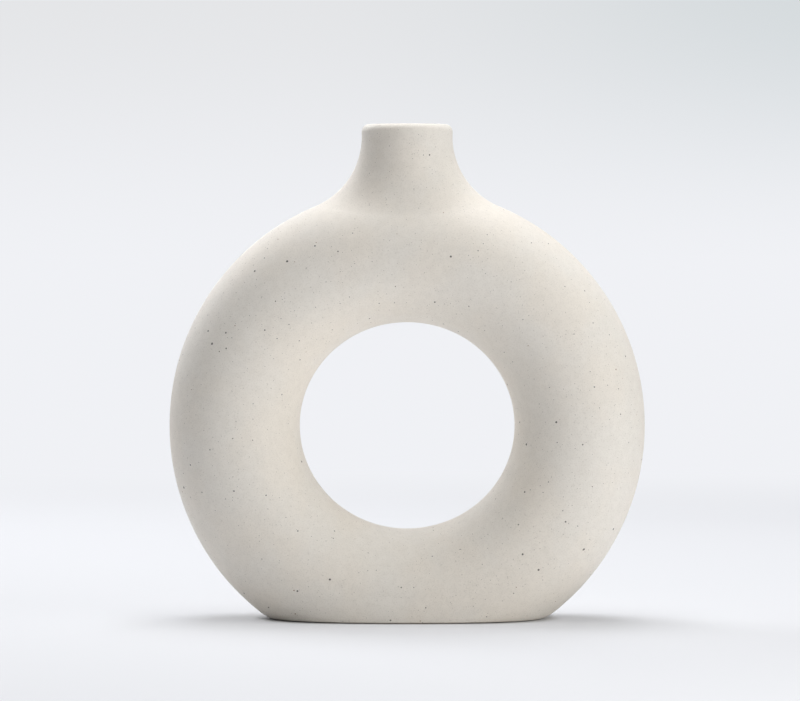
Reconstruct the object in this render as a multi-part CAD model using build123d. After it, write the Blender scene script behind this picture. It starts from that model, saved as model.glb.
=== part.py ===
from build123d import *
from math import sqrt
import os

# A donut vase: an upright hollow ring of stoneware on a flat foot, with a short neck on top.
# Millimetres. X runs across the ring, Y through its hole (the front is -Y) and Z is up.
# The origin is the middle of the foot's underside, on the surface that the vase stands on.

# Ring
ring_radius = 100.0  # outside, seen from the front
ring_depth = 60.0  # front to back
hole_width = 90.2
hole_height = 86.8  # the hole is a little flatter than round
crest_band = 1.0  # narrow flat along the crest, between the two rolled sides
foot_length = 116.8  # the ring is cut off level along this length, end to end

# Neck
neck_radius = 19.1
neck_flare = 31.8  # radius of the sweep from the neck down into the ring
neck_straight = 5.0  # upright part above the sweep
lip_round_share = 0.8  # of the neck's wall, which the lip's outer edge is rounded over
bore_round_share = 0.15  # of the neck's wall, which the lip's inner edge is rounded over

# Walls
ring_wall = 4.5
neck_wall = 4.0
floor_thickness = 5.0
bore_flare = 28.0  # radius of the sweep from the bore down into the hollow ring

# Glaze inside, which makes the vase hold water
glaze_thickness = 0.35
glaze_stop = 1.9  # bare clay between the glaze and the rounding of the lip

# Foot
foot_gap = 0.45  # the edge of the clay stays this far above what the vase stands on
foot_edge_round = 0.4
foot_inset = 1.6  # from the outline in to the ring that the vase rests on, along X and Y
foot_ring_width = 5.0  # that ring, around the recess
recess_depth = 0.8
recess_edge_round = 0.4  # less than the gap, so that it stays within the ring

# Every cutting solid runs this far past what it cuts
overrun = 5.0


def sweep_top(ring, neck, flare):
    """Height above the hole's centre at which a sweep from the ring meets the neck upright."""
    return sqrt((ring + flare) ** 2 - (neck + flare) ** 2)


centre_height = sqrt(ring_radius**2 - (foot_length / 2) ** 2)
crown_height = centre_height + ring_radius
rim_height = centre_height + sweep_top(ring_radius, neck_radius, neck_flare) + neck_straight
lip_round = lip_round_share * neck_wall
bore_round = bore_round_share * neck_wall
glaze_top = rim_height - bore_round - glaze_stop


def turned(crest, reach, half_depth):
    """A solid turned about Y: flat ends as wide as the crest, and a half-ellipse out or in to reach."""
    ends = Polyline((crest, half_depth), (0, half_depth), (0, -half_depth), (crest, -half_depth))
    first_angle = -90 if reach > crest else 90
    side = EllipticalCenterArc(
        (crest, 0), abs(reach - crest), half_depth, start_angle=first_angle, arc_size=180
    )
    return revolve(make_face(ends + side), Axis.Y)


def vase_form(inset, neck_inset, flare, bottom, top):
    """The whole vase as one solid, with its skin moved inwards by inset, or neck_inset on the neck."""
    outer = ring_radius - inset
    neck = neck_radius - neck_inset
    half_depth = ring_depth / 2 - inset
    hole_x = hole_width / 2 + inset
    hole_z = hole_height / 2 + inset
    widest = max(hole_x, hole_z)
    crest = (outer + widest) / 2

    disc = turned(crest + crest_band / 2, outer, half_depth)
    round_hole = turned(crest - crest_band / 2, widest, half_depth)
    ring = disc - scale(round_hole, by=(hole_x / widest, 1, hole_z / widest))
    tube = extrude(Plane.XY.offset(crest) * Circle(neck), top - centre_height - crest)
    joined = ring + tube
    blended = fillet(new_edges(ring, tube, combined=joined), flare)
    return split(Pos(0, 0, centre_height) * blended, Plane.XY.offset(bottom), keep=Keep.TOP)


def round_lip(clay):
    """Both edges of the lip's top face: a wide round outside and a small one in the bore."""
    for place, radius in ((-1, lip_round), (0, bore_round)):
        lip = clay.faces().sort_by(Axis.Z)[-1]
        clay = fillet(lip.edges().sort_by(SortBy.LENGTH)[place], radius)
    return clay


def finish_foot(base):
    """A gap under the foot's edge, the ring inside it to stand on, and a shallow recess in the ring."""
    outline = base.faces().sort_by(Axis.Z)[0].bounding_box().size
    wide, deep = outline.X / 2 - foot_inset, outline.Y / 2 - foot_inset
    base = above(base, foot_gap)
    base = fillet(base.faces().sort_by(Axis.Z)[0].edges(), foot_edge_round)
    base += extrude(Ellipse(wide, deep), foot_gap)
    recess = Ellipse(wide - foot_ring_width, deep - foot_ring_width)
    base -= extrude(Plane.XY.offset(-overrun) * recess, overrun + recess_depth)
    mouth = base.edges().filter_by_position(Axis.Z, 0, 0).sort_by(SortBy.LENGTH)[0]
    return fillet(mouth, recess_edge_round)


def above(solid, height):
    return split(solid, Plane.XY.offset(height), keep=Keep.TOP)


def below(solid, height):
    return split(solid, Plane.XY.offset(height), keep=Keep.BOTTOM)


# The clay, all round
outside = vase_form(0, 0, neck_flare, 0, rim_height)
hollow = vase_form(ring_wall, neck_wall, bore_flare, floor_thickness, rim_height + overrun)
clay = round_lip(outside - hollow)

# The clay's members: a neck on the crown of the ring, a slab under it, and the ring in two halves
ring = above(below(clay, crown_height), floor_thickness)
neck = above(clay, crown_height)
base = finish_foot(below(clay, floor_thickness))
front_shell = split(ring, Plane.XZ, keep=Keep.TOP)
back_shell = split(ring, Plane.XZ, keep=Keep.BOTTOM)

# The glaze covers the hollow from the floor to just under the lip
glazed = vase_form(
    ring_wall + glaze_thickness,
    neck_wall + glaze_thickness,
    bore_flare + glaze_thickness,
    floor_thickness + glaze_thickness,
    rim_height + overrun,
)
liner_glaze = below(hollow - glazed, glaze_top)

nodes = {
    "front_shell": front_shell,
    "back_shell": back_shell,
    "neck": neck,
    "base": base,
    "liner_glaze": liner_glaze,
}

os.makedirs("parts", exist_ok=True)
for name, solid in nodes.items():
    export_step(solid, f"parts/{name}.step")
    box = solid.bounding_box()
    print(name, round(solid.volume), box.min, box.max)
print("centre", centre_height, "crown", crown_height, "rim", rim_height, "glaze top", glaze_top)
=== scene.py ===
import math

import bpy
import numpy as np
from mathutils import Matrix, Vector


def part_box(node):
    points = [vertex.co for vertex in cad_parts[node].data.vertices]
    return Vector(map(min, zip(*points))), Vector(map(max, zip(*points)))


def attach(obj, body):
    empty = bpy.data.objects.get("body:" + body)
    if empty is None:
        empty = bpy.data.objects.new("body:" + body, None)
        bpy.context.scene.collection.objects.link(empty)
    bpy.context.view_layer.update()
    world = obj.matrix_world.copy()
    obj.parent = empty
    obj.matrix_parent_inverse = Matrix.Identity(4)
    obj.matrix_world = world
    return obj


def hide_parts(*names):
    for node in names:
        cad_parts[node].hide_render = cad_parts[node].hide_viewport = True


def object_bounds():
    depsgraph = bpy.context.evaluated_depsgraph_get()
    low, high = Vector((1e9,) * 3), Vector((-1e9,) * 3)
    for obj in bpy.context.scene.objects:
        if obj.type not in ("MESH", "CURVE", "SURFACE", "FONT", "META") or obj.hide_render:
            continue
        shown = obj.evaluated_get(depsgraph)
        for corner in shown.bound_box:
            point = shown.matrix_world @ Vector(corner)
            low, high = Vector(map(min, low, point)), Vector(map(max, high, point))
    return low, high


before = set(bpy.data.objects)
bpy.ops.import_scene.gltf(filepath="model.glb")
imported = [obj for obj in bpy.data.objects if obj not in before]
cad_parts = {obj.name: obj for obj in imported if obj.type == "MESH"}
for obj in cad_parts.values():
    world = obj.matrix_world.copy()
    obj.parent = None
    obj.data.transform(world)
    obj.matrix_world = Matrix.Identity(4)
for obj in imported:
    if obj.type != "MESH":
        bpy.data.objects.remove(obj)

cad_low, cad_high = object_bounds()

# The vase in metres, in the frame's own axes: X across the ring, Y through its hole, Z up
MM = 0.001
ring_radius = (cad_high.x - cad_low.x) / 2
ring_half_depth = (cad_high.y - cad_low.y) / 2
hole_width = 90.2 * MM
hole_height = 86.8 * MM
crest_band = 1.0 * MM
foot_length = 116.8 * MM
neck_radius = 19.1 * MM
neck_flare = 31.8 * MM
ring_wall = 4.5 * MM
neck_wall = 4.0 * MM
bore_flare = 28.0 * MM
lip_round = 3.2 * MM
bore_round = 0.6 * MM
glaze_thickness = 0.35 * MM
foot_gap = 0.45 * MM
foot_edge_round = 0.4 * MM
foot_inset = 1.6 * MM
foot_ring_width = 5.0 * MM
foot_ring_round = 0.2 * MM
recess_depth = 0.8 * MM
recess_edge_round = 0.4 * MM

# The foot's two ends are drawn in by this much at the ground, over this height
foot_tuck = 1.35 * MM
foot_tuck_height = 3.0 * MM

# The hole's centre stands this high, and the levels are measured from it
centre_height = math.sqrt(ring_radius**2 - (foot_length / 2) ** 2)
rim_level = cad_high.z - centre_height
crown_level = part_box("neck")[0].z - centre_height
floor_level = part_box("base")[1].z - centre_height
glaze_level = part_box("liner_glaze")[1].z - centre_height
ground_level = -centre_height

# Faces along the neck's half round, the foot's half round, one side seam of a skin, a line across
# the ring from its outline into the hole, and the arc of the neck's sweep
CLAY_GRID = {"neck": 96, "foot": 84, "seam": 160, "ring": 68, "sweep": 20}
GLAZE_GRID = {"neck": 48, "foot": 42, "seam": 70, "ring": 30, "sweep": 20}

# Rows of points across each small patch
LIP_ROWS = 17
LIP_TOP_ROWS = 2
NECK_ROWS = 14
JOINT_ROWS = 4
FLOOR_ROWS = 12
FOOT_SIDE_ROWS = 7
FOOT_WALL_ROWS = 3
FOOT_ROUND_ROWS = 5
SOLE_ROWS = 8
GLAZE_NECK_ROWS = 12
GLAZE_EDGE_ROWS = 7

# Points along each rolled side before they are spread evenly
FINE_ROWS = 160

# Rounds of the searches for the ring's nearest point, the ball's height and the foot's edge
NEAREST_ROUNDS = 20
BALL_ROUNDS = 50
EDGE_ROUNDS = 8

# Points that agree to this distance are one
weld_distance = 0.0002 * MM

RIGHT_ANGLE = math.pi / 2
UP = np.array([0.0, 0.0, 1.0])

# How far the fired clay sinks in from its true form, in soft waves that die out at the lip and foot,
# the step over which their slope is measured, and the draw of their directions and starts
sag = 0.12 * MM
sag_wavelengths = (26 * MM, 33 * MM, 41 * MM, 52 * MM, 66 * MM, 90 * MM)
sag_fade = 7.0 * MM
sag_probe = 0.01 * MM
SAG_SEED = 12
SAG_LAST_START = 7

# The glaze's top edge wanders down by this much, in waves round the neck: how many there are in
# a full round, how high each is beside the others, and where it starts
glaze_wander = 0.25 * MM
GLAZE_WAVES = ((2, 1.0, 0.7), (5, 0.6, 2.1), (9, 0.4, 0.0))


def unit(v):
    return v / np.linalg.norm(v, axis=-1, keepdims=True)


def blend_share(low, high, value):
    """0 below low, 1 above high and a smooth rise between them."""
    share = np.clip((value - low) / (high - low), 0, 1)
    return share * share * (3 - 2 * share)


# A patch is a grid of points with their normals. It is made for the front half, where Y is negative.


def on_side(patch, side):
    """The patch as it is for the front, where side is 1, or its mirror image on the back, for -1."""
    flip = np.array([1.0, side, 1.0])
    return patch[0] * flip, patch[1] * flip


def inside_out(patch):
    return patch[0], -patch[1]


def ruled(first, last, rows, facing):
    """A flat patch between two lines of points."""
    share = np.linspace(0, 1, rows)[None, :, None]
    points = first[:, None] * (1 - share) + last[:, None] * share
    return points, np.broadcast_to(np.array(facing, float), points.shape)


def turned(around, radius, level, tilt):
    """A patch turned about the neck's axis. Tilt is the angle of its normals above the horizontal."""
    around, radius, level, tilt = np.broadcast_arrays(around[:, None], radius, level, tilt)
    out = np.stack([np.cos(around), -np.sin(around), 0 * around], -1)
    points = radius[..., None] * out + level[..., None] * UP
    return points, np.cos(tilt)[..., None] * out + np.sin(tilt)[..., None] * UP


def sag_at(points):
    """How deep the clay sinks at each point, from 0 to sag."""
    draw = np.random.default_rng(SAG_SEED)
    wave = 0
    for length in sag_wavelengths:
        direction = unit(draw.normal(size=3))
        wave = wave + np.sin(points @ direction * (2 * math.pi / length) + draw.uniform(0, SAG_LAST_START))
    fade = blend_share(foot_gap + foot_edge_round, sag_fade, points[..., 2] - ground_level)
    fade = fade * blend_share(lip_round, sag_fade, rim_level - points[..., 2])
    return sag * fade * (0.5 + 0.5 * wave / len(sag_wavelengths))


def uneven(patch):
    """The patch with its points sunk into the clay, and its normals turned to match."""
    points, normals = patch
    steps = sag_probe * np.eye(3)
    change = [sag_at(points + step) - sag_at(points - step) for step in steps]
    slope = np.stack(change, -1) / (2 * sag_probe)
    along = slope - np.sum(slope * normals, -1, keepdims=True) * normals
    return points - sag_at(points)[..., None] * normals, unit(normals + along)


class Skin:
    """One skin of the vase, measured from the hole's centre: the ring's two rolled sides, the neck's
    tube, and the sweep that a ball leaves as it rolls along the corner between them. Patches cover
    the front half, and their normals point away from the clay ring's own middle line."""

    def __init__(self, inset, neck_inset, sweep, bottom, grid):
        self.reach = ring_radius - inset
        self.depth = ring_half_depth - inset
        hole_x = hole_width / 2 + inset
        hole_z = hole_height / 2 + inset
        crest = (self.reach + hole_x) / 2
        self.outer_crest = crest + crest_band / 2
        self.inner_crest = crest - crest_band / 2
        self.roll = self.reach - self.outer_crest
        self.hole_roll = self.inner_crest - hole_x
        self.flatness = hole_z / hole_x
        self.tube = neck_radius - neck_inset
        self.around = np.linspace(0, math.pi, grid["neck"] + 1)
        self.sweep = sweep
        self.bottom = bottom
        self.grid = grid
        self.roll_ball()

    def outer_side(self, theta, turn):
        """Points and normals from the outline, where turn is 0, to the front crest."""
        theta, turn = np.broadcast_arrays(theta, turn)
        out = self.outer_crest + self.roll * np.cos(turn)
        points = [out * np.cos(theta), -self.depth * np.sin(turn), out * np.sin(theta)]
        across = np.cos(turn) / self.roll
        normals = [across * np.cos(theta), -np.sin(turn) / self.depth, across * np.sin(theta)]
        return np.stack(points, -1), unit(np.stack(normals, -1))

    def hole_side(self, theta, turn):
        """Points and normals from the front crest, where turn is a right angle, into the hole."""
        theta, turn = np.broadcast_arrays(theta, turn)
        out = self.inner_crest + self.hole_roll * np.cos(turn)
        reach = out / np.hypot(np.cos(theta), np.sin(theta) / self.flatness)
        x, z = reach * np.cos(theta), reach * np.sin(theta)
        across = np.cos(turn) / self.hole_roll / out
        normals = [across * x, -np.sin(turn) / self.depth, across * z / self.flatness**2]
        return np.stack([x, -self.depth * np.sin(turn), z], -1), unit(np.stack(normals, -1))

    def nearest_turn(self, x, y, z):
        """Roll angle of the ring's point nearest to a point outside it, by Newton's method."""
        out = np.hypot(x, z) - self.outer_crest
        a, b = self.roll, self.depth
        turn = np.arctan2(-y * a, out * b)
        for _ in range(NEAREST_ROUNDS):
            s, c = np.sin(turn), np.cos(turn)
            slope = (b * b - a * a) * s * c + out * a * s + y * b * c
            bend = (b * b - a * a) * (c * c - s * s) + out * a * c - y * b * s
            turn = np.clip(turn - slope / bend, 0, RIGHT_ANGLE)
        return turn

    def roll_ball(self):
        """Where the ball's centre runs round the neck, and where it touches the tube and the ring."""
        around = self.around
        out = np.stack([np.cos(around), -np.sin(around), 0 * around], -1)
        self.to_tube = -out
        x, y, _ = ((self.tube + self.sweep) * out).T
        low = np.full_like(x, self.outer_crest)
        high = np.full_like(x, self.reach + 2 * self.sweep)
        for _ in range(BALL_ROUNDS):
            z = (low + high) / 2
            theta, turn = np.arctan2(z, x), self.nearest_turn(x, y, z)
            ball = np.stack([x, y, z], -1)
            painted_fill = self.outer_side(theta, turn)[0]
            inside = np.linalg.norm(painted_fill - ball, axis=-1) < self.sweep
            low, high = np.where(inside, z, low), np.where(inside, high, z)
        self.ball, self.contact = ball, (theta, turn)
        self.to_ring = unit(painted_fill - ball)
        self.arc = np.arccos(np.sum(self.to_ring * self.to_tube, -1))
        fall = (crown_level - z) * np.sin(self.arc) / (self.sweep * self.to_ring[:, 2])
        self.crown_share = np.arcsin(fall) / self.arc

    def foot_line(self, level):
        """Ring and roll angle where the ring passes a level, from left to right round the front."""
        drop = -np.broadcast_to(level, self.grid["foot"] + 1)
        angle = np.linspace(0, math.pi, self.grid["foot"] + 1)
        x = -np.sqrt(self.reach**2 - drop**2) * np.cos(angle)
        theta = 2 * math.pi - np.arctan2(drop, x)
        out = drop / np.abs(np.sin(theta))
        turn = np.arccos(np.clip((out - self.outer_crest) / self.roll, 0, 1))

        # Both ends lie on the outline
        turn[[0, -1]] = 0
        return theta, turn

    def ring_patch(self):
        """The ring's front. Each column runs from the outline, the neck's sweep or the foot over the
        crest to the hole, and they go once round from the right of the neck."""
        neck, foot, seam = self.grid["neck"], self.grid["foot"], self.grid["seam"]
        neck_theta, neck_turn = self.contact
        foot_theta, foot_turn = self.foot_line(self.bottom)
        left = np.linspace(neck_theta[neck], foot_theta[0], seam + 1)[1:-1]
        right = np.linspace(foot_theta[foot], neck_theta[0] + 2 * math.pi, seam + 1)[1:]
        theta = np.concatenate([neck_theta, left, foot_theta, right])[:, None]
        start = np.concatenate([neck_turn, 0 * left, foot_turn, 0 * right])[:, None]
        fine = np.linspace(0, 1, FINE_ROWS)
        outer = self.outer_side(theta, start + (RIGHT_ANGLE - start) * fine)
        inner = self.hole_side(theta, RIGHT_ANGLE + RIGHT_ANGLE * fine[None])
        points = np.concatenate([outer[0], inner[0]], 1)
        normals = np.concatenate([outer[1], inner[1]], 1)
        return spread(points, normals, self.grid["ring"] + 1)

    def sweep_patch(self, first, last):
        """Part of the sweep, between two shares of the ball's arc from the tube to the ring."""
        steps = np.linspace(0, 1, self.grid["sweep"] + 1)
        first, last = np.broadcast_arrays(first, last, self.arc)[:2]
        angle = (first[:, None] + (last - first)[:, None] * steps) * self.arc[:, None]
        arc = self.arc[:, None]
        towards = (
            np.sin(arc - angle)[..., None] * self.to_tube[:, None]
            + np.sin(angle)[..., None] * self.to_ring[:, None]
        ) / np.sin(arc)[..., None]
        return self.ball[:, None] + self.sweep * towards, -towards

    def tube_patch(self, top, rows):
        """The tube from the sweep's upper edge to a level."""
        bottom = self.ball[:, 2:]
        steps = np.linspace(0, 1, rows)
        return turned(self.around, self.tube, bottom + (np.reshape(top, (-1, 1)) - bottom) * steps, 0.0)

    def floor_patch(self, side, facing):
        """The flat inside the skin at its bottom, on one side of the middle."""
        line = self.outer_side(*self.foot_line(self.bottom))[0]
        middle = line * np.array([1.0, 0.0, 1.0])
        return on_side(ruled(line, middle, FLOOR_ROWS, facing), side)


def spread(points, normals, rows):
    """Each column's points at even distances along it."""
    step = np.linalg.norm(np.diff(points, axis=1), axis=-1)
    along = np.concatenate([0 * step[:, :1], np.cumsum(step, 1)], 1)
    both = np.concatenate([points, normals], -1)
    made = np.empty((len(points), rows, 6))
    for column, distance in enumerate(along):
        even = np.linspace(0, distance[-1], rows)
        for axis in range(6):
            made[column, :, axis] = np.interp(even, distance, both[column, :, axis])
    return made[..., :3], unit(made[..., 3:])


def shell_patches(outer, hollow, side):
    """One half of the clay ring, between the crown and the foot slab."""
    skins = []
    for skin in (outer, hollow):
        patches = [skin.ring_patch(), skin.sweep_patch(skin.crown_share, 1.0)]
        skins.append([on_side(patch, side) for patch in patches])
    skins[0] = [uneven(patch) for patch in skins[0]]
    edges = [half_edges(*patches) for patches in skins]
    joints = [ruled(a, b, JOINT_ROWS, facing) for a, b, facing in zip(*edges, joint_facings(side))]
    return skins[0] + [inside_out(patch) for patch in skins[1]] + joints


def half_edges(ring, sweep):
    """The lines where half a skin ends: left seam, right seam, hole, foot slab and crown."""
    neck, foot, seam = (CLAY_GRID[name] for name in ("neck", "foot", "seam"))
    start = ring[0][:, 0]
    left = np.concatenate([sweep[0][neck], start[neck + 1 : neck + seam + 1]])
    right = np.concatenate([start[neck + seam + foot :], sweep[0][0, ::-1][1:]])
    return left, right, ring[0][:, -1], start[neck + seam : neck + seam + foot + 1], sweep[0][:, 0]


def joint_facings(side):
    seam = (0, side, 0)
    return seam, seam, seam, (0, 0, -1), (0, 0, 1)


def neck_patches(outer, hollow, side):
    """Half of the neck, from the crown up over the lip and down its bore."""
    around = outer.around
    turn = np.linspace(0, RIGHT_ANGLE, LIP_ROWS)
    across, rise = 1 - np.cos(turn), np.sin(turn) - 1
    lip = turned(around, outer.tube - lip_round * across, rim_level + lip_round * rise, turn)
    bead = turned(
        around, hollow.tube + bore_round * across, rim_level + bore_round * rise, math.pi - turn
    )
    top = ruled(lip[0][:, -1], bead[0][:, -1], LIP_TOP_ROWS, UP)
    outside = [outer.sweep_patch(outer.crown_share, 0.0)]
    outside.append(outer.tube_patch(rim_level - lip_round, NECK_ROWS))
    outside = [uneven(on_side(patch, side)) for patch in outside]
    bore = [hollow.sweep_patch(hollow.crown_share, 0.0)]
    bore.append(hollow.tube_patch(rim_level - bore_round, NECK_ROWS))
    bore = [inside_out(on_side(patch, side)) for patch in bore]
    crown = ruled(outside[0][0][:, 0], bore[0][0][:, 0], JOINT_ROWS, -UP)
    return outside + bore + [crown] + [on_side(patch, side) for patch in (lip, bead, top)]


def base_patches(outer, side):
    """Half of the foot slab: its side, its rounded lower edge, and the underside."""
    share = np.linspace(0, 1, FOOT_SIDE_ROWS)[None, :]
    gap_level = ground_level + foot_gap
    edge = np.full(outer.grid["foot"] + 1, gap_level)
    for _ in range(EDGE_ROUNDS):
        point, normal = tucked(outer.outer_side(*outer.foot_line(edge)))
        edge = gap_level + foot_edge_round * (1 + normal[:, 2])
    levels = floor_level + (edge[:, None] - floor_level) * share
    flank = [tucked(outer.outer_side(*outer.foot_line(level))) for level in levels.T]
    flank = tuple(np.stack(parts, 1) for parts in zip(*flank))

    # The edge's round leaves the flank along its normal and ends facing down
    point, normal = flank[0][:, -1], flank[1][:, -1]
    radius = ((point[:, 2] - gap_level) / (1 + normal[:, 2]))[:, None]
    round_middle = point - radius * normal
    level_out = unit(normal * np.array([1.0, 1.0, 0.0]))
    tilt = np.arccos(-normal[:, 2])[:, None] * (1 - share)
    facing = np.sin(tilt)[..., None] * level_out[:, None] - np.cos(tilt)[..., None] * UP
    edge_round = round_middle[:, None] + radius[..., None] * facing, facing

    patches = [edge_round] + underside_patches(outer, edge_round[0][:, -1])

    # The slab's top reaches a middle line that both halves share, whose ends sink with the clay
    middle = flank[0][:, 0] * np.array([1.0, 0.0, 1.0])
    flank = uneven(on_side(flank, side))
    middle[[0, -1]] = flank[0][[0, -1], 0]
    joint = ruled(flank[0][:, 0], middle, FLOOR_ROWS, UP)
    return [on_side(patch, side) for patch in patches] + [flank, joint]


def tucked(row):
    """Points and normals of the foot's side, with its two ends drawn in near the ground."""
    points, normals = row[0].copy(), row[1].copy()
    rise = np.clip(1 - (points[:, 2] - ground_level) / foot_tuck_height, 0, 1)
    share = foot_tuck / (foot_length / 2) * rise**2
    slope = -2 * foot_tuck / (foot_length / 2) * rise / foot_tuck_height
    normals[:, 2] += normals[:, 0] * points[:, 0] * slope / (1 - share)
    normals[:, 0] /= 1 - share
    points[:, 0] *= 1 - share
    return points, unit(normals)


def underside_patches(outer, edge):
    """Half of the underside: the narrow gap inside the foot's edge, the ring that the vase rests on,
    and the shallow recess within it."""
    ground = outer.outer_side(*outer.foot_line(ground_level))[0]
    wide = foot_length / 2 - foot_inset
    deep = -ground[:, 1].min() - foot_inset
    step, ring_round = oval_wall(outer, wide, deep, foot_gap, foot_ring_round, 1)
    wide, deep = wide - foot_ring_width, deep - foot_ring_width
    wall, mouth = oval_wall(outer, wide, deep, recess_depth, recess_edge_round, -1)
    gap = ruled(edge, step[0][:, 0], FOOT_WALL_ROWS, -UP)
    sole = ruled(ring_round[0][:, -1], mouth[0][:, -1], SOLE_ROWS, -UP)
    ceiling = wall[0][:, 0]
    recess = ruled(ceiling, ceiling * np.array([1.0, 0.0, 1.0]), FLOOR_ROWS, -UP)
    return [gap, step, ring_round, sole, mouth, wall, recess]


def oval_wall(outer, wide, deep, height, radius, facing):
    """Half of an upright oval wall that stands on the ground, and the round at its foot. Facing is 1
    where the wall looks outwards and -1 where it looks in."""
    angle = np.linspace(0, math.pi, outer.grid["foot"] + 1)
    line = np.stack([-wide * np.cos(angle), -deep * np.sin(angle), 0 * angle + ground_level], -1)
    out = unit(np.stack([-np.cos(angle) / wide, -np.sin(angle) / deep, 0 * angle], -1))
    out = facing * out[:, None]
    turn = np.linspace(0, RIGHT_ANGLE, FOOT_ROUND_ROWS)[None, :, None]
    normals = np.cos(turn) * out - np.sin(turn) * UP
    points = (line + radius * UP)[:, None] + radius * (normals - out)
    wall = ruled(line + height * UP, points[:, 0], FOOT_WALL_ROWS, out)
    return wall, (points, normals)


def glaze_patches(clay_side, hollow_side, side):
    """Half of the glaze: the skin on the clay, the free skin, both floors and the rounded top edge."""
    around = clay_side.around
    dip = glaze_edge(around * side)
    radius = glaze_thickness / 2
    turn = np.linspace(0, math.pi, GLAZE_EDGE_ROWS)
    middle = (clay_side.tube + hollow_side.tube) / 2
    level = (dip - radius)[:, None]
    edge = turned(around, middle + radius * np.cos(turn), level + radius * np.sin(turn), turn)
    patches = [on_side(edge, side)]
    for skin, flip, facing in ((clay_side, 1.0, -UP), (hollow_side, -1.0, UP)):
        made = [skin.ring_patch(), skin.sweep_patch(1.0, 0.0)]
        made.append(skin.tube_patch(dip - radius, GLAZE_NECK_ROWS))
        for patch in made:
            points, normals = on_side(patch, side)
            patches.append((points, normals * flip))
        patches.append(skin.floor_patch(side, facing))
    return patches


def glaze_edge(angle):
    """Level of the glaze's top edge round the neck: it was poured, so it runs a little up and down."""
    wander = sum(height * np.sin(count * angle + start) for count, height, start in GLAZE_WAVES)
    return glaze_level - glaze_wander * (1 + wander / 2)


def make_piece(name, patches, material, replaced):
    """A closed mesh of the patches, with their own normals, that stands for the CAD node."""
    points = np.concatenate([p.reshape(-1, 3) for p, _ in patches]) + centre_height * UP
    normals = np.concatenate([n.reshape(-1, 3) for _, n in patches])
    grids, first = [], 0
    for p, n in patches:
        index = first + np.arange(p.shape[0] * p.shape[1]).reshape(p.shape[:2])
        first += index.size
        a, b, c, d = index[:-1, :-1], index[1:, :-1], index[1:, 1:], index[:-1, 1:]
        cross = np.cross(points[c] - points[a], points[d] - points[b])
        faces = np.stack([a, b, c, d] if np.sum(cross * normals[a]) > 0 else [d, c, b, a], -1)
        grids.append(faces.reshape(-1, 4))
    corners = np.concatenate(grids)
    steps = np.round(points / weld_distance)
    _, kept, welded = np.unique(steps, axis=0, return_index=True, return_inverse=True)
    welded = welded.reshape(-1)[corners]
    faces, loops = [], []
    for face, corner in zip(welded.tolist(), corners.tolist()):
        whole = [i for i in range(4) if face[i] != face[i - 1]]
        if len(whole) > 2:
            faces.append([face[i] for i in whole])
            loops.extend(corner[i] for i in whole)
    mesh = bpy.data.meshes.new(name)
    mesh.from_pydata(points[kept].tolist(), [], faces)
    mesh.polygons.foreach_set("use_smooth", np.ones(len(faces), bool))
    mesh.normals_split_custom_set(normals[loops].tolist())
    mesh.materials.append(material)
    piece = bpy.data.objects.new(name, mesh)
    bpy.context.scene.collection.objects.link(piece)
    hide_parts(replaced)
    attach(piece, "root")


class Nodes:
    """Short calls that add nodes to a material or the world and wire them up."""

    def __init__(self, owner):
        owner.use_nodes = True
        self.tree = owner.node_tree

    def add(self, kind, inputs=(), **settings):
        node = self.tree.nodes.new("ShaderNode" + kind)
        for name, value in settings.items():
            setattr(node, name, value)
        for name, value in dict(inputs).items():
            self.put(node, name, value)
        return node

    def put(self, node, name, value):
        if isinstance(value, bpy.types.NodeSocket):
            self.tree.links.new(value, node.inputs[name])
        else:
            node.inputs[name].default_value = value

    def math(self, operation, *values):
        node = self.add("Math", enumerate(values), operation=operation)
        return node.outputs[0]

    def ramp(self, value, low, high):
        """0 where the value is at low, 1 at high and a smooth rise between. Low may be the larger."""
        node = self.add("MapRange", {"Value": value}, interpolation_type="SMOOTHSTEP")
        self.put(node, "From Min", low)
        self.put(node, "From Max", high)
        return node.outputs["Result"]

    def mix(self, share, first, second):
        node = self.add("Mix", data_type="RGBA", clamp_factor=True)
        self.put(node, "Factor", share)
        for name, value in (("A", first), ("B", second)):
            socket = [i for i in node.inputs if i.name == name and i.type == "RGBA"][0]
            if isinstance(value, bpy.types.NodeSocket):
                self.tree.links.new(value, socket)
            else:
                socket.default_value = (*value, 1)
        return [o for o in node.outputs if o.type == "RGBA"][0]

    def noise(self, place, wavelength, detail=2.0):
        """Soft noise round one half, of about the given wavelength in metres."""
        inputs = {"Vector": place, "Scale": 1 / wavelength, "Detail": detail}
        return self.add("TexNoise", inputs).outputs["Fac"]

    def relief(self, shader, height, depth):
        """Bumps of the given depth where the height goes from 0 to 1."""
        bump = self.add("Bump", {"Height": height, "Distance": depth, "Strength": 1.0})
        self.put(shader, "Normal", bump.outputs[0])


# Clay and glaze, as linear colours
CLAY = (0.790, 0.752, 0.690)
WARM_CLAY = (0.800, 0.748, 0.672)
SAND = (0.500, 0.460, 0.400)
SOLE_CLAY = (0.600, 0.530, 0.440)
THICK_GLAZE = (0.800, 0.775, 0.700)
THIN_GLAZE = (0.840, 0.820, 0.760)
GLAZE_SPECK = (0.300, 0.220, 0.150)

# Specks of iron-bearing grit in the clay: how far apart the grains lie, the radius of the largest,
# the share of the places that hold a grain, and its colour
SPECKS = (
    (6.2 * MM, 0.54 * MM, 0.75, (0.035, 0.029, 0.024)),
    (3.7 * MM, 0.30 * MM, 0.75, (0.100, 0.085, 0.070)),
    (1.2 * MM, 0.165 * MM, 0.65, (0.180, 0.155, 0.130)),
    (5.8 * MM, 0.32 * MM, 0.50, (0.260, 0.130, 0.060)),
)

# The glaze's specks: how far apart, the radius of the largest, and the share of the places
GLAZE_SPECKS = (5.0 * MM, 0.25 * MM, 0.6)

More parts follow.
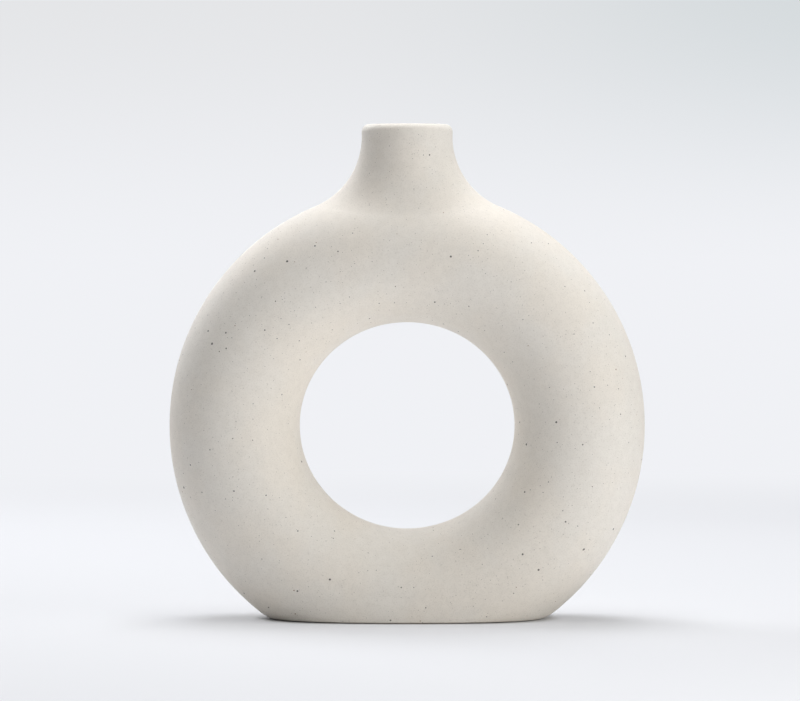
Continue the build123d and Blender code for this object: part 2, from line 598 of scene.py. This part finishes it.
# The smallest grain as a share of the largest, a grain's soft edge in its own radii, and how far
# the cell pattern is moved from one kind to the next, in its own spacings
SPECK_SMALLEST_SHARE = 0.35
SPECK_EDGE = (1.1, 0.75)
SPECK_MOVE = (17, 5, 11)

# How strongly each layer covers the clay or glaze under it
MOTTLE_COVER = 0.09
SAND_COVER = 0.24
SOLE_COVER = 0.85
SPECK_COVER = 0.92
GLAZE_SPECK_COVER = 0.6

# Wavelengths of the noise, and the part of its range over which a layer comes in
cloud_size = 30 * MM
mottle_size = 3.2 * MM
sand_size = 0.55 * MM
ragged_size = 4 * MM
wobble_size = 0.5 * MM
polish_size = 12 * MM
grain_size = 1.6 * MM
glaze_cloud_size = 14 * MM
glaze_polish_size = 9 * MM
glaze_run_size = 7 * MM
CLOUD_RANGE = (0.35, 0.65)
MOTTLE_RANGE = (0.3, 0.7)
SAND_RANGE = (0.55, 0.25)

# The bare sole ends between these levels, with a ragged edge. A grain's outline wobbles this much.
SOLE_EDGE = (0.68 * MM, 0.58 * MM)
sole_ragged = 0.3 * MM
speck_wobble = 0.16 * MM

# Roughness at its lowest, how much the noise adds, and the glaze's clear coat
CLAY_ROUGHNESS = 0.62
CLAY_ROUGHNESS_SPREAD = 0.10
GLAZE_ROUGHNESS = 0.12
GLAZE_ROUGHNESS_SPREAD = 0.08
GLAZE_COAT = 0.3
GLAZE_COAT_ROUGHNESS = 0.05

# Height of the fine relief. In the clay it is sand, with this share of coarser grain.
GRAIN_SHARE = 0.6
clay_relief = 0.018 * MM
glaze_relief = 0.15 * MM


def speck_share(nodes, place, spacing, radius, held, number):
    """1 inside the grains of one kind, and 0 elsewhere: balls round the points of a cell pattern."""
    moved = nodes.add("VectorMath", operation="ADD")
    nodes.put(moved, 0, place)
    nodes.put(moved, 1, [number * step * spacing for step in SPECK_MOVE])
    cells = nodes.add("TexVoronoi", {"Vector": moved.outputs[0], "Scale": 1 / spacing})
    chance = nodes.add("SeparateColor", {"Color": cells.outputs["Color"]})
    least, most = SPECK_SMALLEST_SHARE * radius / spacing, radius / spacing
    size = nodes.math("MULTIPLY_ADD", chance.outputs["Red"], most - least, least)
    edge = nodes.math("DIVIDE", cells.outputs["Distance"], size)
    inside = nodes.ramp(edge, *SPECK_EDGE)
    present = nodes.math("LESS_THAN", chance.outputs["Green"], held)
    return nodes.math("MULTIPLY", inside, present)


def stoneware():
    """Matte speckled stoneware: pale warm clay with fine sand, grains of grit and a bare sole."""
    material = bpy.data.materials.new("stoneware")
    nodes = Nodes(material)
    shader = nodes.tree.nodes["Principled BSDF"]
    place = nodes.add("TexCoord").outputs["Object"]
    level = nodes.add("SeparateXYZ", {"Vector": place}).outputs["Z"]

    cloud = nodes.ramp(nodes.noise(place, cloud_size, 3.0), *CLOUD_RANGE)
    color = nodes.mix(cloud, CLAY, WARM_CLAY)
    mottle = nodes.ramp(nodes.noise(place, mottle_size), *MOTTLE_RANGE)
    color = nodes.mix(nodes.math("MULTIPLY", mottle, MOTTLE_COVER), color, SAND)
    sand = nodes.noise(place, sand_size)
    grains = nodes.math("MULTIPLY", nodes.ramp(sand, *SAND_RANGE), SAND_COVER)
    color = nodes.mix(grains, color, SAND)
    ragged = nodes.math("MULTIPLY_ADD", nodes.noise(place, ragged_size), sole_ragged, level)
    sole = nodes.ramp(ragged, *SOLE_EDGE)
    color = nodes.mix(nodes.math("MULTIPLY", sole, SOLE_COVER), color, SOLE_CLAY)

    wobble = nodes.add("TexNoise", {"Vector": place, "Scale": 1 / wobble_size, "Detail": 1.0})
    shift = nodes.add("VectorMath", operation="MULTIPLY_ADD")
    nodes.put(shift, 0, wobble.outputs["Color"])
    nodes.put(shift, 1, (speck_wobble,) * 3)
    nodes.put(shift, 2, place)
    for number, (spacing, radius, held, tone) in enumerate(SPECKS):
        inside = speck_share(nodes, shift.outputs[0], spacing, radius, held, number)
        color = nodes.mix(nodes.math("MULTIPLY", inside, SPECK_COVER), color, tone)
    nodes.put(shader, "Base Color", color)

    polish = nodes.noise(place, polish_size)
    roughness = nodes.math("MULTIPLY_ADD", polish, CLAY_ROUGHNESS_SPREAD, CLAY_ROUGHNESS)
    nodes.put(shader, "Roughness", roughness)
    grain = nodes.math("MULTIPLY_ADD", nodes.noise(place, grain_size), GRAIN_SHARE, sand)
    nodes.relief(shader, grain, clay_relief)
    return material


def liner_glaze():
    """Glossy cream glaze, a little uneven where it ran."""
    material = bpy.data.materials.new("liner_glaze")
    nodes = Nodes(material)
    shader = nodes.tree.nodes["Principled BSDF"]
    place = nodes.add("TexCoord").outputs["Object"]
    cloud = nodes.ramp(nodes.noise(place, glaze_cloud_size), *CLOUD_RANGE)
    color = nodes.mix(cloud, THICK_GLAZE, THIN_GLAZE)
    grains = speck_share(nodes, place, *GLAZE_SPECKS, 1)
    color = nodes.mix(nodes.math("MULTIPLY", grains, GLAZE_SPECK_COVER), color, GLAZE_SPECK)
    nodes.put(shader, "Base Color", color)
    polish = nodes.noise(place, glaze_polish_size)
    roughness = nodes.math("MULTIPLY_ADD", polish, GLAZE_ROUGHNESS_SPREAD, GLAZE_ROUGHNESS)
    nodes.put(shader, "Roughness", roughness)
    nodes.put(shader, "Coat Weight", GLAZE_COAT)
    nodes.put(shader, "Coat Roughness", GLAZE_COAT_ROUGHNESS)
    nodes.relief(shader, nodes.noise(place, glaze_run_size, 1.0), glaze_relief)
    return material


def make_vase():
    """The four clay members and the glaze, each in the place of its CAD node."""
    outer = Skin(0, 0, neck_flare, floor_level, CLAY_GRID)
    hollow = Skin(ring_wall, neck_wall, bore_flare, floor_level, CLAY_GRID)
    lining = []
    for depth in (0, glaze_thickness):
        flare = bore_flare + depth
        bottom = floor_level + depth
        lining.append(Skin(ring_wall + depth, neck_wall + depth, flare, bottom, GLAZE_GRID))
    clay, glaze = stoneware(), liner_glaze()
    sides = (1, -1)
    forms = {
        "front_shell": shell_patches(outer, hollow, 1),
        "back_shell": shell_patches(outer, hollow, -1),
        "neck": [p for side in sides for p in neck_patches(outer, hollow, side)],
        "base": [p for side in sides for p in base_patches(outer, side)],
    }
    for name, patches in forms.items():
        make_piece(name + "_clay", patches, clay, name)
    patches = [p for side in sides for p in glaze_patches(*lining, side)]
    make_piece("liner_glaze_coat", patches, glaze, "liner_glaze")


# The camera stands almost 2 m away, nearly as high as the ring, and looks a little down. The lens
# and the sensor are in millimetres.
CAMERA_LENS = 200
CAMERA_SENSOR = 36
CAMERA_PLACE = Vector((-0.0030, -1.868, 0.1672))
CAMERA_TARGET = Vector((-0.0030, 0, 0.1127))

# The floor's colour for the light that it throws on the vase, and for what is seen of it
FLOOR_COLOR = (0.80, 0.805, 0.82)
FLOOR_SEEN_COLOR = (0.71, 0.715, 0.73)
FLOOR_ROUGHNESS = 0.9
FLOOR_SHINE = 0.2

# The floor's rings of faces: their radii in metres, and the sides of each
FLOOR_RINGS = (0.05, 0.15, 0.3, 0.6, 1.2, 2.5, 5.0, 10.0, 20.0)
FLOOR_SIDES = 96

# The floor turns into the backdrop between these distances. Near the vase it shows this share of the
# backdrop as painted fill light, which lightens the vase's shadow on the floor. It comes in between
# these multiples of the foot's outline, so the contact shadow right at the foot stays dark.
FLOOR_FADE = (0.35, 1.1)
FLOOR_SHADOW_FILL = 0.33
FLOOR_SHADOW_FILL_EDGE = (1.0, 1.4)

# The backdrop's colour low down, and high up where painted shade darkens it, more on the right, and the
# directions between which it changes
BACKDROP_COLOR = (0.871, 0.881, 0.914)
BACKDROP_HIGH_LEFT = (0.78, 0.788, 0.805)
BACKDROP_HIGH_RIGHT = (0.66, 0.70, 0.72)
BACKDROP_RISE = (-0.012, 0.055)
BACKDROP_TURN = (-0.03, 0.11)
WORLD_COLOR = (1.0, 1.0, 1.0)
WORLD_STRENGTH = 0.15

# Square soft boxes: azimuth and elevation in degrees, distance and width in metres, watts and tint.
# Azimuth 0 is the camera's side and 90 the right.
LAMPS = (
    ("key", 60, 10, 1.5, 1.0, 9.15, (0.99, 0.995, 0.99)),
    ("front", 30, 0, 0.6, 0.3, 0.64, (1.02, 1.0, 0.97)),
    ("top", 0, 88, 1.5, 1.0, 11.4, (1.0, 1.0, 1.0)),
    ("back_top", 184, 70, 1.5, 0.8, 12.0, (0.985, 1.0, 1.05)),
    ("back_left", 225, 30, 1.5, 0.8, 7.3, (0.985, 1.0, 1.03)),
)


def make_camera():
    camera = bpy.data.cameras.new("camera")
    camera.lens = CAMERA_LENS
    camera.sensor_width = CAMERA_SENSOR
    seat = bpy.data.objects.new("camera", camera)
    seat.location = CAMERA_PLACE
    seat.rotation_euler = (CAMERA_TARGET - CAMERA_PLACE).to_track_quat("-Z", "Y").to_euler()
    bpy.context.scene.collection.objects.link(seat)
    bpy.context.scene.camera = seat


def foot_distance(nodes, place):
    """1 where the ring's own outline meets the floor, less inside it and more outside."""
    x, y, _ = nodes.add("SeparateXYZ", {"Vector": place}).outputs
    out = nodes.math("SQRT", nodes.math("MULTIPLY_ADD", x, x, centre_height**2))
    crest = (ring_radius + hole_width / 2 + crest_band) / 2
    across = nodes.math("DIVIDE", nodes.math("SUBTRACT", out, crest), ring_radius - crest)
    along = nodes.math("DIVIDE", y, ring_half_depth)
    return nodes.math("MULTIPLY_ADD", across, across, nodes.math("MULTIPLY", along, along))


def seen_share(nodes):
    """1 for what the camera sees, also mirrored or through glass, and 0 for light on the vase."""
    path = nodes.add("LightPath").outputs
    mirrored = nodes.math("MAXIMUM", path["Is Glossy Ray"], path["Is Transmission Ray"])
    return nodes.math("MAXIMUM", path["Is Camera Ray"], mirrored)


def make_floor():
    """A wide round floor of rings that grow outwards."""
    mesh = bpy.data.meshes.new("floor")
    turns = np.linspace(0, 2 * math.pi, FLOOR_SIDES + 1)[:-1]
    points = [(r * math.cos(t), r * math.sin(t), 0) for r in FLOOR_RINGS for t in turns]
    faces = [tuple(range(FLOOR_SIDES))]
    for ring in range(len(FLOOR_RINGS) - 1):
        for i in range(FLOOR_SIDES):
            a = ring * FLOOR_SIDES + i
            b = ring * FLOOR_SIDES + (i + 1) % FLOOR_SIDES
            faces.append((a, a + FLOOR_SIDES, b + FLOOR_SIDES, b))
    mesh.from_pydata(points, [], faces)
    mesh.materials.append(floor_material())
    floor = bpy.data.objects.new("floor", mesh)
    bpy.context.scene.collection.objects.link(floor)


def floor_material():
    """Matte white paper, which is seen a little darker than it lights the vase. Outside the foot's
    outline it glows a little with the backdrop's white, as painted fill light that lightens the vase's
    shadow on it. Away from the vase it shows the same even white as the backdrop."""
    material = bpy.data.materials.new("floor")
    nodes = Nodes(material)
    shader = nodes.tree.nodes["Principled BSDF"]
    seen = seen_share(nodes)
    nodes.put(shader, "Base Color", nodes.mix(seen, FLOOR_COLOR, FLOOR_SEEN_COLOR))
    nodes.put(shader, "Roughness", FLOOR_ROUGHNESS)
    nodes.put(shader, "Specular IOR Level", FLOOR_SHINE)
    place = nodes.add("TexCoord").outputs["Object"]
    away = nodes.add("VectorMath", {0: place}, operation="LENGTH").outputs["Value"]
    far = nodes.ramp(away, *FLOOR_FADE)
    # Painted fill light: outside the foot's outline the floor glows, which lightens the vase's shadow on
    # it
    outside = nodes.ramp(foot_distance(nodes, place), *FLOOR_SHADOW_FILL_EDGE)
    painted_fill = nodes.math("MULTIPLY", outside, FLOOR_SHADOW_FILL)
    share = nodes.math("MULTIPLY", nodes.math("MAXIMUM", far, painted_fill), seen)
    glow = nodes.add("Emission", {"Color": (*BACKDROP_COLOR, 1), "Strength": 1.0}).outputs[0]
    mixed = nodes.add("MixShader", {0: share, 1: shader.outputs[0], 2: glow})
    nodes.put(nodes.tree.nodes["Material Output"], "Surface", mixed.outputs[0])
    return material


def make_world():
    """Weak even light from all round, and a pale backdrop for what the camera sees of it, with painted
    shade that darkens it high up and towards the right.
    """
    world = bpy.data.worlds.new("studio")
    bpy.context.scene.world = world
    nodes = Nodes(world)
    light = nodes.tree.nodes["Background"]
    nodes.put(light, "Color", (*WORLD_COLOR, 1))
    nodes.put(light, "Strength", WORLD_STRENGTH)
    way = nodes.add("SeparateXYZ", {"Vector": nodes.add("TexCoord").outputs["Generated"]}).outputs
    # Painted shade: the backdrop darkens high up, more towards the right
    high = nodes.mix(nodes.ramp(way["X"], *BACKDROP_TURN), BACKDROP_HIGH_LEFT, BACKDROP_HIGH_RIGHT)
    shade = nodes.mix(nodes.ramp(way["Z"], *BACKDROP_RISE), BACKDROP_COLOR, high)
    white = nodes.add("Background", {"Color": shade, "Strength": 1.0})
    mixed = nodes.add("MixShader", {0: seen_share(nodes), 1: light.outputs[0], 2: white.outputs[0]})
    nodes.put(nodes.tree.nodes["World Output"], "Surface", mixed.outputs[0])


def make_lamp(name, azimuth, elevation, distance, width, power, tint):
    """A square soft box that faces the hole's centre."""
    data = bpy.data.lights.new(name, "AREA")
    data.size = width
    data.energy = power
    data.color = tint
    lamp = bpy.data.objects.new(name, data)
    turn, rise = math.radians(azimuth), math.radians(elevation)
    away = Vector((math.sin(turn) * math.cos(rise), -math.cos(turn) * math.cos(rise), math.sin(rise)))
    target = Vector((0, 0, centre_height))
    lamp.location = target + away * distance
    lamp.rotation_euler = (-away).to_track_quat("-Z", "Y").to_euler()
    lamp.visible_camera = False
    bpy.context.scene.collection.objects.link(lamp)


make_vase()
make_camera()
make_floor()
make_world()
for lamp in LAMPS:
    make_lamp(*lamp)
bpy.context.scene.view_settings.view_transform = "Standard"
